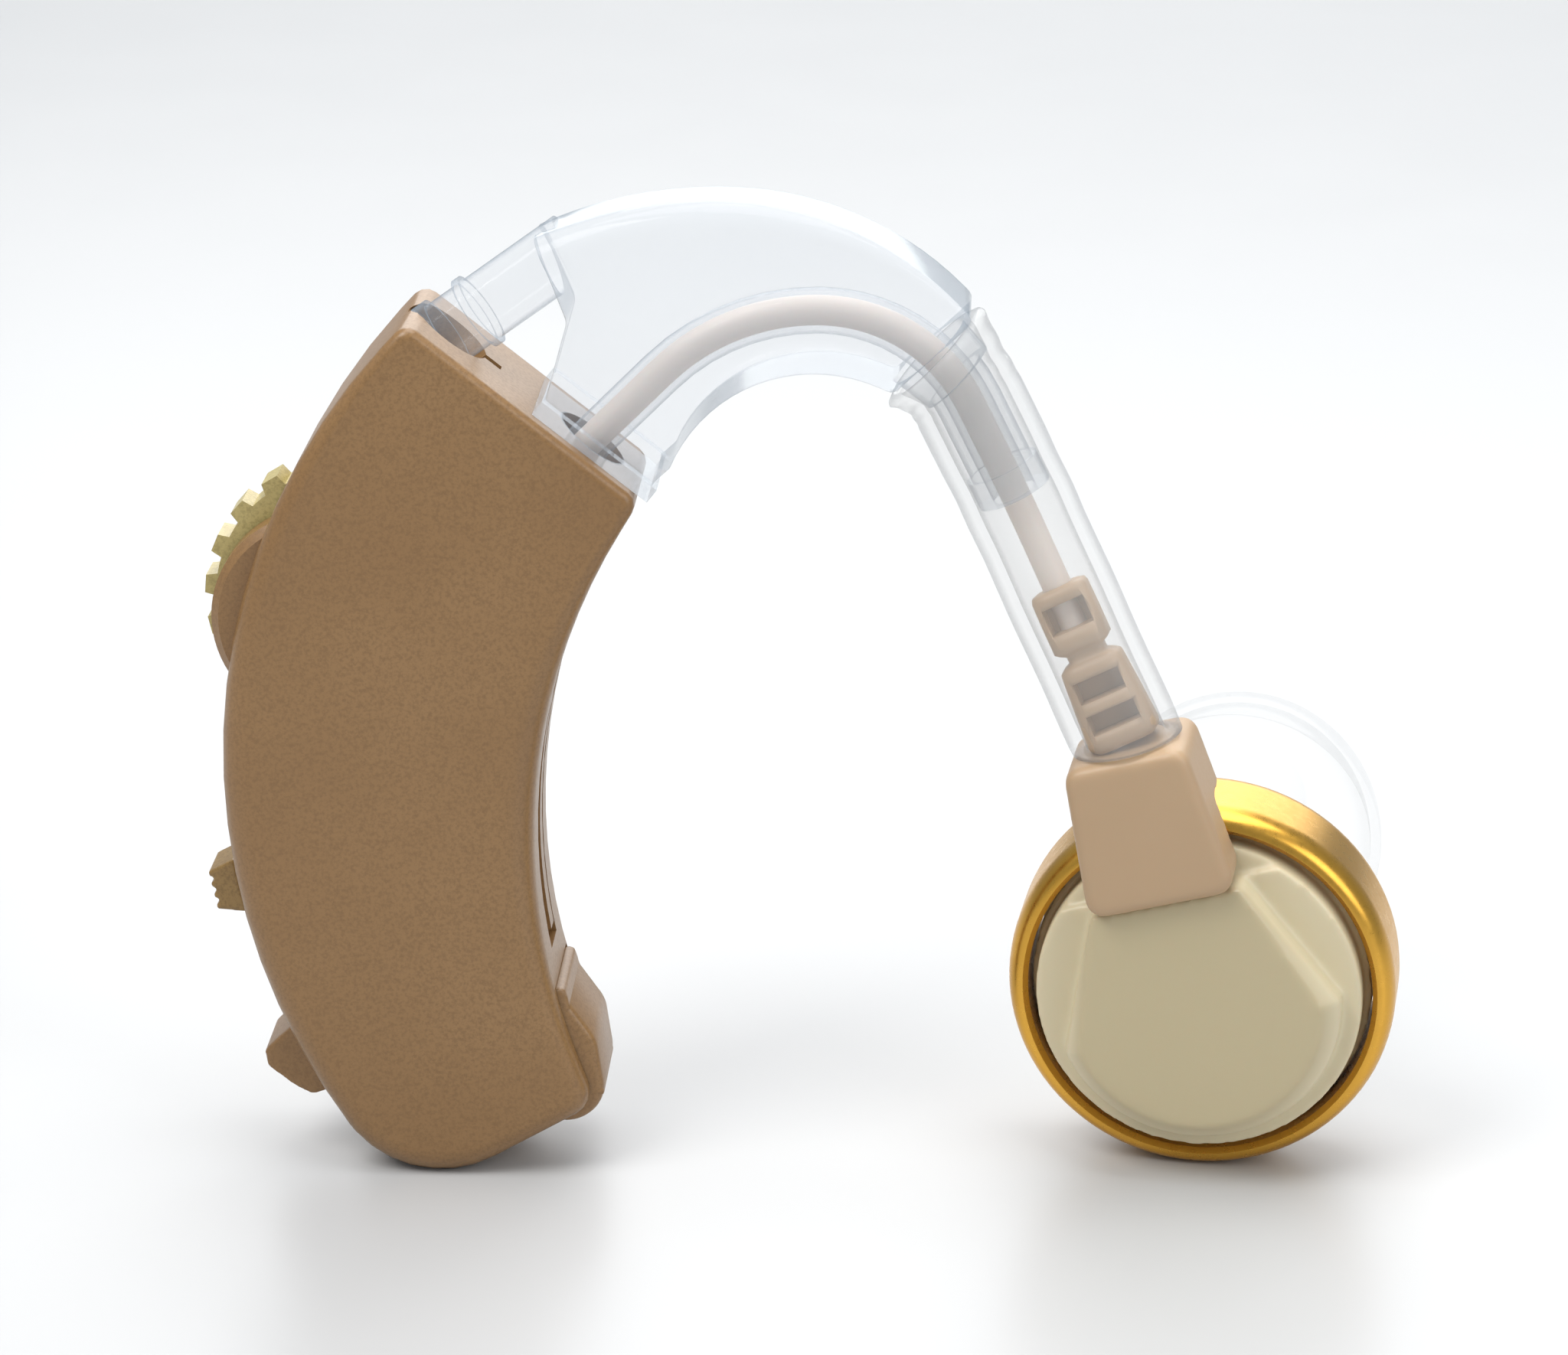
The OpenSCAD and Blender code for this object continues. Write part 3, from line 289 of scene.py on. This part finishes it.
def matte(name, base, dark, rough, soft=0.0):
    """Moulded plastic or rubber: even colour with faint clouds under a fine skin texture."""
    s = Shader(name)
    cloud = s.noise(160.0, 4.0)
    fine = s.noise(4200.0, 3.0, 0.6)
    s.link(s.mix(s.spread(cloud, 0.0, 0.5), base, dark), s.bsdf, "Base Color")
    s.link(s.spread(fine, rough * 0.85, min(rough * 1.2, 1.0)), s.bsdf, "Roughness")
    s.put("Subsurface Weight", soft)
    s.put("Subsurface Scale", 0.6 * MM)
    s.bump([(fine, 0.18, 0.015), (s.noise(700.0, 2.0), 0.08, 0.03)])
    return s.material


def cover_paint(name, base, dark, light):
    """Cream moulding with painted light on its sloping rim: the colour turns paler down the slope from the
    plateau's edge.
    """
    s = Shader(name)
    fine = s.noise(5200.0, 3.0, 0.65)
    body = s.mix(s.spread(s.noise(160.0), 0.0, 0.5), base, dark)
    body = s.mix(s.spread(fine, 0.0, 0.3), body, dark)
    middle = (RECEIVER_C + SHIFT).dot(RECEIVER_FRONT)
    # painted light: the slope is painted paler than the plateau, by its place along the receiver's front
    painted_slope_light = s.along(RECEIVER_FRONT, middle - COVER_TOP, middle - COVER_SLOPE_END)
    s.link(s.mix(painted_slope_light, body, light), s.bsdf, "Base Color")
    s.link(s.spread(fine, 0.3, 0.44), s.bsdf, "Roughness")
    s.put("Subsurface Weight", 0.1)
    s.put("Subsurface Scale", 0.8 * MM)
    s.bump([(fine, 0.16, 0.012), (s.noise(600.0, 2.0), 0.07, 0.03)])
    return s.material


def board_paint(name):
    """Green solder mask with paler tracks under it."""
    s = Shader(name)
    brick = s.tree.nodes.new("ShaderNodeTexBrick")
    brick.inputs["Scale"].default_value = 420.0
    brick.inputs["Mortar Size"].default_value = 0.06
    brick.inputs["Color1"].default_value = (*rgb(40, 92, 54), 1.0)
    brick.inputs["Color2"].default_value = (*rgb(34, 80, 46), 1.0)
    brick.inputs["Mortar"].default_value = (*rgb(78, 132, 82), 1.0)
    s.link(s.stretched((1.0, 1.0, 1.0)), brick, "Vector")
    s.link(brick.outputs["Color"], s.bsdf, "Base Color")
    s.link(s.spread(s.noise(3000.0), 0.25, 0.4), s.bsdf, "Roughness")
    s.bump([(brick.outputs["Fac"], 0.15, 0.03)])
    return s.material


MATERIALS = {
    "case": case_paint("case_tan", rgb(143, 108, 67), rgb(137, 102, 62), rgb(152, 117, 76)),
    "wheel": case_paint("wheel_olive", rgb(196, 180, 118), rgb(176, 158, 98), rgb(214, 200, 146)),
    "knob": case_paint("knob_olive", rgb(150, 119, 68), rgb(134, 103, 56), rgb(176, 149, 92)),
    # the second colour of each clear moulding is painted shade for its edges
    "hook": clear_plastic("hook_clear", rgb(212, 219, 227), rgb(112, 132, 148), 0.17, 0.7, 0.1),
    "sleeve": clear_plastic("sleeve_clear", rgb(222, 222, 220), rgb(150, 152, 154), 0.14, 0.55, 0.2),
    "tip": clear_plastic("tip_clear", rgb(226, 227, 228), rgb(176, 178, 178), 0.04, 0.22, 0.22),
    "lead": matte("lead_skin", rgb(226, 214, 204), rgb(210, 196, 186), 0.45, soft=0.15),
    "plug": matte("plug_tan", rgb(186, 157, 124), rgb(174, 144, 111), 0.42, soft=0.1),
    "gold": metal("gold_satin", rgb(232, 180, 80), rgb(204, 150, 58), 0.28),
    "cream": matte("front_cream", rgb(196, 180, 144), rgb(184, 168, 130), 0.36, soft=0.05),
    # the cover's third colour is painted light for its sloping rim
    "cover": cover_paint("cover_cream", rgb(176, 160, 122), rgb(166, 149, 110), rgb(212, 199, 166)),
    "brass": metal("contact_gold", rgb(226, 190, 110), rgb(200, 160, 90), 0.22),
    "steel": metal("steel_bright", rgb(205, 205, 202), rgb(170, 170, 168), 0.24),
    "iron": metal("steel_dark", rgb(96, 96, 98), rgb(70, 70, 72), 0.4),
    "copper": metal("copper_enamel", rgb(190, 116, 70), rgb(160, 92, 52), 0.3, (1.0, 0.2, 1.0)),
    "film": matte("film_pale", rgb(220, 214, 200), rgb(204, 196, 180), 0.35),
    "board": board_paint("board_green"),
    "dark": matte("plastic_dark", rgb(52, 48, 44), rgb(38, 35, 32), 0.5),
    "rubber": matte("rubber_black", rgb(44, 44, 44), rgb(30, 30, 30), 0.7),
}

NODE_MATERIALS = {
    "case": ("case_near", "case_far", "battery_door"),
    "wheel": ("volume_wheel",),
    "knob": ("switch_knob",),
    "hook": ("ear_hook",),
    "plug": ("plug_body",),
    "gold": ("receiver_ring",),
    "cream": ("receiver_front",),
    "cover": ("receiver_cover",),
    "brass": ("plug_pins", "receiver_sockets", "contact_positive", "contact_negative"),
    "steel": ("case_screws", "wheel_screw", "door_pin", "battery_cell", "microphone"),
    "iron": ("receiver_yoke", "receiver_magnet"),
    "copper": ("voice_coil", "capacitors"),
    "film": ("diaphragm",),
    "board": ("circuit_board",),
    "dark": ("volume_base", "switch_body", "amplifier_chip", "resistors"),
    "rubber": ("microphone_boot",),
}


# Nodes whose moulded edges are softened: the grain of the remesh in mm and the number of smoothing passes
MOULDED_SOFT = {
    "receiver_cover": (0.14, 14),
    "plug_body": (0.14, 10),
    "battery_door": (0.14, 10),
    "switch_knob": (0.08, 4),
}


def smooth_group():
    """Joins the facets' shared corners and smooths every edge flatter than the limit."""
    group = bpy.data.node_groups.new("soft_facets", "GeometryNodeTree")
    group.interface.new_socket("Geometry", in_out="INPUT", socket_type="NodeSocketGeometry")
    group.interface.new_socket("Geometry", in_out="OUTPUT", socket_type="NodeSocketGeometry")
    start = group.nodes.new("NodeGroupInput")
    end = group.nodes.new("NodeGroupOutput")
    plain = group.nodes.new("GeometryNodeRemoveAttribute")
    plain.inputs["Name"].default_value = "custom_normal"
    merge = group.nodes.new("GeometryNodeMergeByDistance")
    merge.inputs["Distance"].default_value = 0.002 * MM
    faces = group.nodes.new("GeometryNodeSetShadeSmooth")
    faces.domain = "FACE"
    angle = group.nodes.new("GeometryNodeInputMeshEdgeAngle")
    sharp = group.nodes.new("FunctionNodeCompare")
    sharp.operation = "GREATER_THAN"
    sharp.inputs["B"].default_value = math.radians(32.0)
    edges = group.nodes.new("GeometryNodeSetShadeSmooth")
    edges.domain = "EDGE"
    edges.inputs["Shade Smooth"].default_value = False
    links = group.links
    links.new(start.outputs[0], plain.inputs[0])
    links.new(plain.outputs[0], merge.inputs[0])
    links.new(merge.outputs[0], faces.inputs[0])
    links.new(faces.outputs[0], edges.inputs[0])
    links.new(angle.outputs["Unsigned Angle"], sharp.inputs["A"])
    links.new(sharp.outputs[0], edges.inputs["Selection"])
    links.new(edges.outputs[0], end.inputs[0])
    return group


def soften_edges(node, grain, passes):
    """Rounds the sharp edges of a moulding by an even remesh and a short smoothing."""
    remesh = node.modifiers.new("even", "REMESH")
    remesh.mode = "VOXEL"
    remesh.voxel_size = grain * MM
    smooth = node.modifiers.new("round", "SMOOTH")
    smooth.factor = 0.5
    smooth.iterations = passes


def dress_nodes():
    group = smooth_group()
    for key, names in NODE_MATERIALS.items():
        for name in names:
            node = nodes[name]
            node.data.materials.clear()
            node.data.materials.append(MATERIALS[key])
            if name in MOULDED_SOFT:
                soften_edges(node, *MOULDED_SOFT[name])
            soften = node.modifiers.new("facets", "NODES")
            soften.node_group = group
            weigh = node.modifiers.new("flats", "WEIGHTED_NORMAL")
            weigh.keep_sharp = True
            weigh.weight = 90


def make_floor():
    mesh = bpy.data.meshes.new("floor")
    reach = 3.0
    corners = [(-reach, -reach, 0), (reach, -reach, 0), (reach, reach, 0), (-reach, reach, 0)]
    mesh.from_pydata(corners, [], [(0, 1, 2, 3)])
    floor = bpy.data.objects.new("floor", mesh)
    scene.collection.objects.link(floor)
    s = Shader("floor_white")
    s.put("Base Color", (0.54, 0.54, 0.54, 1.0))
    s.link(s.spread(s.noise(60.0), 0.3, 0.36), s.bsdf, "Roughness")
    s.put("Specular IOR Level", 0.35)
    mesh.materials.append(s.material)


def on_circle(centre, radius, turn):
    a = math.radians(turn)
    return centre + Vector((radius * math.cos(a), 0.0, radius * math.sin(a)))


def tail_points(steps=8):
    """From the nozzle's straight run, round the small bend at its end, down to the plug."""
    run = (TAIL_TOP - on_circle(DROP_C, DROP_R, 90.0 - DROP_TURN)).normalized()
    fall = (TAIL_FOOT - TAIL_TOP).normalized()
    start = TAIL_TOP - TAIL_BEND * run
    end = TAIL_TOP + TAIL_BEND * fall
    bend = []
    for i in range(steps + 1):
        t = i / steps
        bend.append((1 - t) ** 2 * start + 2 * t * (1 - t) * TAIL_TOP + t * t * end)
    return bend


def mesh_object(name, points, faces, body, material):
    mesh = bpy.data.meshes.new(name)
    mesh.from_pydata([(p + SHIFT) * MM for p in points], [], faces)
    mesh.validate()
    mesh.shade_smooth()
    mesh.materials.append(material)
    piece = bpy.data.objects.new(name, mesh)
    scene.collection.objects.link(piece)
    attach(piece, body)
    return piece


def ring(centre, ahead, radius, sides, wave=0.0):
    """A ring of points square to the way ahead. The wave lets a soft tube be a touch out of round."""
    across = ahead.cross(Vector((0.0, 1.0, 0.0))).normalized()
    up = across.cross(ahead).normalized()
    out = []
    for i in range(sides):
        a = math.tau * i / sides
        r = radius * (1.0 + wave * math.cos(2 * a + 0.7))
        out.append(centre + r * (math.cos(a) * across + math.sin(a) * up))
    return out


def headings(centres):
    last = len(centres) - 1
    return [(centres[min(i + 1, last)] - centres[max(i - 1, 0)]).normalized() for i in range(last + 1)]


def skin(rings, closed):
    """Quads between rings of points; an open skin is capped at both ends."""
    sides = len(rings[0])
    points = [p for one in rings for p in one]
    faces = []
    for j in range(len(rings) if closed else len(rings) - 1):
        k = (j + 1) % len(rings)
        for i in range(sides):
            n = (i + 1) % sides
            faces.append((j * sides + i, j * sides + n, k * sides + n, k * sides + i))
    if not closed:
        faces.append(tuple(range(sides - 1, -1, -1)))
        faces.append(tuple((len(rings) - 1) * sides + i for i in range(sides)))
    return points, faces


def fall_between(start, end, steps, skip_first=False):
    return [start + (end - start) * i / steps for i in range(1 if skip_first else 0, steps + 1)]


def make_lead():
    climb = on_circle(Vector((0, 0, 0)), 1.0, LEAD_START_TURN)
    starts = (-LEAD_INSIDE, -0.5 * LEAD_INSIDE, 0.0, 0.5 * LEAD_RISE, LEAD_RISE)
    centres = [LEAD_EXIT + d * climb for d in starts]
    centres += [on_circle(ARCH_C, ARCH_R, t) for t in fall_between(90.0 + LEAD_START_TURN, 90.0, 16, True)]
    centres += [on_circle(DROP_C, DROP_R, t) for t in fall_between(90.0, 90.0 - DROP_TURN, 22, True)]
    centres += tail_points()
    foot = TAIL_FOOT.lerp(TAIL_TOP, 0.3)
    centres += [centres[-1].lerp(foot, t) for t in (0.25, 0.5, 0.75, 1.0)]
    rings = [ring(c, h, LEAD_R, 28) for c, h in zip(centres, headings(centres))]
    piece = mesh_object("lead_cord", *skin(rings, False), "case", MATERIALS["lead"])
    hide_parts("lead")


def flare(t):
    t = min(max(t, 0.0), 1.0)
    return 1.0 - t * t * (3.0 - 2.0 * t)


def make_sleeve():
    """Soft tube: its flared and rolled mouth on the bend, a plain run, and its cut end on the plug."""
    turns = fall_between(MOUTH_TURN, 90.0 - DROP_TURN, 22)
    centres = [on_circle(DROP_C, DROP_R, t) for t in turns]
    centres += tail_points(10)
    foot = TAIL_FOOT + 0.1 * RECEIVER_UP
    start = centres[-1]
    centres += [start.lerp(foot, t / 12) for t in range(1, 13)]
    ways = headings(centres)
    ways[-1] = -RECEIVER_UP
    outer = []
    inner = []
    for k, (c, h) in enumerate(zip(centres, ways)):
        grow = 0.42 * flare(k / 14)
        lip = 0.1 * math.exp(-((k - 1.2) / 1.2) ** 2)
        wave = 0.012 * math.sin(0.9 * k)
        outer.append(ring(c, h, SLEEVE_R + grow + lip, 48, wave))
        inner.append(ring(c, h, SLEEVE_R - SLEEVE_WALL + grow + 0.06 * flare(k / 20), 48, wave))
    mouth_mid = [(a + b) / 2 - 0.16 * ways[0] for a, b in zip(outer[0], inner[0])]
    foot_mid = [(a + b) / 2 for a, b in zip(outer[-1], inner[-1])]
    rings = outer + [foot_mid] + inner[::-1] + [mouth_mid]
    piece = mesh_object("sleeve_tube", *skin(rings, True), "case", MATERIALS["sleeve"])
    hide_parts("sleeve")


SQUARENESS = 4.5
# Slots of the strain relief: lower end, upper end and half width in mm
RELIEF_SLOTS = ((1.1, 2.0, 1.2), (2.75, 3.75, 1.15), (6.4, 7.7, 1.05))


def rounded_section(centre, side, front, half_w, half_t, sides=40):
    """A ring of points on a rounded rectangle about the tail's axis."""
    out = []
    for i in range(sides):
        a = math.tau * i / sides
        c = math.cos(a)
        s = math.sin(a)
        k = 1.0 / (abs(c) ** SQUARENESS + abs(s) ** SQUARENESS) ** (1 / SQUARENESS)
        out.append(centre + side * half_w * c * k + front * half_t * s * k)
    return out


def cut_with(piece, points, faces):
    mesh = bpy.data.meshes.new("cutter")
    mesh.from_pydata([(p + SHIFT) * MM for p in points], [], faces)
    shell = bmesh.new()
    shell.from_mesh(mesh)
    bmesh.ops.recalc_face_normals(shell, faces=shell.faces)
    shell.to_mesh(mesh)
    shell.free()
    cutter = bpy.data.objects.new("cutter", mesh)
    scene.collection.objects.link(cutter)
    cut = piece.modifiers.new("slot", "BOOLEAN")
    cut.object = cutter
    cut.operation = "DIFFERENCE"
    cut.solver = "EXACT"
    bpy.context.view_layer.update()
    done = bpy.data.meshes.new_from_object(piece.evaluated_get(bpy.context.evaluated_depsgraph_get()))
    piece.modifiers.clear()
    piece.data = done
    bpy.data.objects.remove(cutter)


def carve_slots(piece, axis, side, front):
    # the mouth of a slot is wider than its floor
    for low, high, half in RELIEF_SLOTS:
        for face in (-1.0, 1.0):
            corners = []
            for depth, grow in ((1.75, 0.1), (0.3, -0.05)):
                for a, b in ((-1, low - grow), (1, low - grow), (1, high + grow), (-1, high + grow)):
                    corners.append(TAIL_FOOT + b * axis + a * (half + grow) * side + face * depth * front)
            faces = [(0, 1, 2, 3), (7, 6, 5, 4), (0, 4, 5, 1), (1, 5, 6, 2), (2, 6, 7, 3), (3, 7, 4, 0)]
            cut_with(piece, corners, faces)


def make_strain_relief():
    """Two slotted blocks and the neck between them, moulded round the lead over the plug."""
    axis = (TAIL_TOP - TAIL_FOOT).normalized()
    side = axis.cross(Vector((0.0, 1.0, 0.0))).normalized()
    front = side.cross(axis).normalized()
    # height on the axis, half width, half thickness
    profile = [(0.04, 1.5, 1.3), (0.3, 1.82, 1.43), (0.55, 1.88, 1.46), (2.2, 1.78, 1.44), (4.1, 1.64, 1.42),
               (4.42, 1.6, 1.38), (4.62, 1.35, 1.15), (4.78, 1.0, 1.0), (5.12, 1.0, 1.0), (5.28, 1.3, 1.15),
               (5.45, 1.5, 1.36), (6.9, 1.5, 1.38), (8.2, 1.48, 1.36), (8.42, 1.4, 1.25), (8.52, 1.1, 1.0)]
    rings = [rounded_section(TAIL_FOOT + h * axis, side, front, w, t) for h, w, t in profile]
    piece = mesh_object("strain_relief_blocks", *skin(rings, False), "case", MATERIALS["plug"])
    carve_slots(piece, axis, side, front)
    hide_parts("strain_relief")


# The battery door's hinge end, in the case's middle plane: (x, z) and radius in mm
HINGE_ROUNDS = ((Vector((-11.68, 0.0, 8.668)), 0.92), (Vector((-11.291, 0.0, 6.303)), 1.96),
                (Vector((-11.05, 0.0, 4.5)), 1.98))
HINGE_HALF = 3.17


def hinge_section(y, inset):
    """A line drawn tight round the hinge's three rounds, drawn in by the inset."""
    out = []
    for i in range(96):
        way = Vector((math.cos(math.tau * i / 96), 0.0, math.sin(math.tau * i / 96)))
        centre, radius = max(HINGE_ROUNDS, key=lambda one: one[0].dot(way) + one[1])
        out.append(centre + (radius - inset) * way + Vector((0.0, y, 0.0)))
    return out


def make_hinge_fairing():
    """Smooth moulding over the knuckle and the door's lip, with rounded ends."""
    ends = ((0.0, 0.42), (0.08, 0.2), (0.2, 0.07), (0.42, 0.0))
    far = [(HINGE_HALF - d, inset) for d, inset in ends]
    near = [(d - HINGE_HALF, inset) for d, inset in ends[::-1]]
    rings = [hinge_section(y, inset) for y, inset in far + near]
    mesh_object("hinge_fairing", *skin(rings, False), "door", MATERIALS["case"])


def make_ear_tip():
    """Thin dome with a rolled rim round a thick stem, turned about the receiver's axis."""
    side = RECEIVER_UP.cross(RECEIVER_FRONT).normalized()
    start = 4.6
    end = 26.2
    core = 2.2
    skirt = 7.9
    dome = 8.2
    wall = 0.6
    stem = 3.3
    bore = 2.5
    sound = 1.2
    outer = [(core + (skirt - core) * math.sin(a), end - dome + dome * math.cos(a))
             for a in (math.radians(90.0 * i / 26) for i in range(27))]
    rim = [(skirt - wall / 2 + wall / 2 * math.cos(a), end - dome - 0.6 * wall * math.sin(a))
           for a in (math.radians(t) for t in (30.0, 60.0, 90.0, 120.0, 150.0))]
    inner = [(core + (skirt - core - wall) * math.sin(a), end - dome + (dome - wall) * math.cos(a))
             for a in (math.radians(90.0 - 90.0 * i / 26) for i in range(27))]
    inner = [p for p in inner if p[0] > stem + 0.5]
    top = inner[-1][1] - 0.15
    stem_side = [(stem + 0.2, top - 0.15), (stem, top - 0.7), (stem, start + 8.0),
                 (stem + 0.06, start + 4.0), (stem, start + 0.4), (stem - 0.12, start + 0.08)]
    inside = [(bore + 0.1, start), (bore, start + 0.2), (bore, start + 6.2), (sound, start + 6.4)]
    mouth = [(sound, end - 0.3), (sound + 0.25, end)]
    profile = outer + rim + inner + stem_side + inside + mouth
    sides = 96
    rings = []
    for r, y in profile:
        centre = RECEIVER_C + y * RECEIVER_FRONT
        turns = [math.tau * i / sides for i in range(sides)]
        rings.append([centre + r * (math.cos(a) * side + math.sin(a) * RECEIVER_UP) for a in turns])
    piece = mesh_object("ear_tip_dome", *skin(rings, True), "tip", MATERIALS["tip"])
    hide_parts("ear_tip")


make_camera()
make_lights()
dress_nodes()
make_lead()
make_sleeve()
make_strain_relief()
make_ear_tip()
make_hinge_fairing()
make_floor()
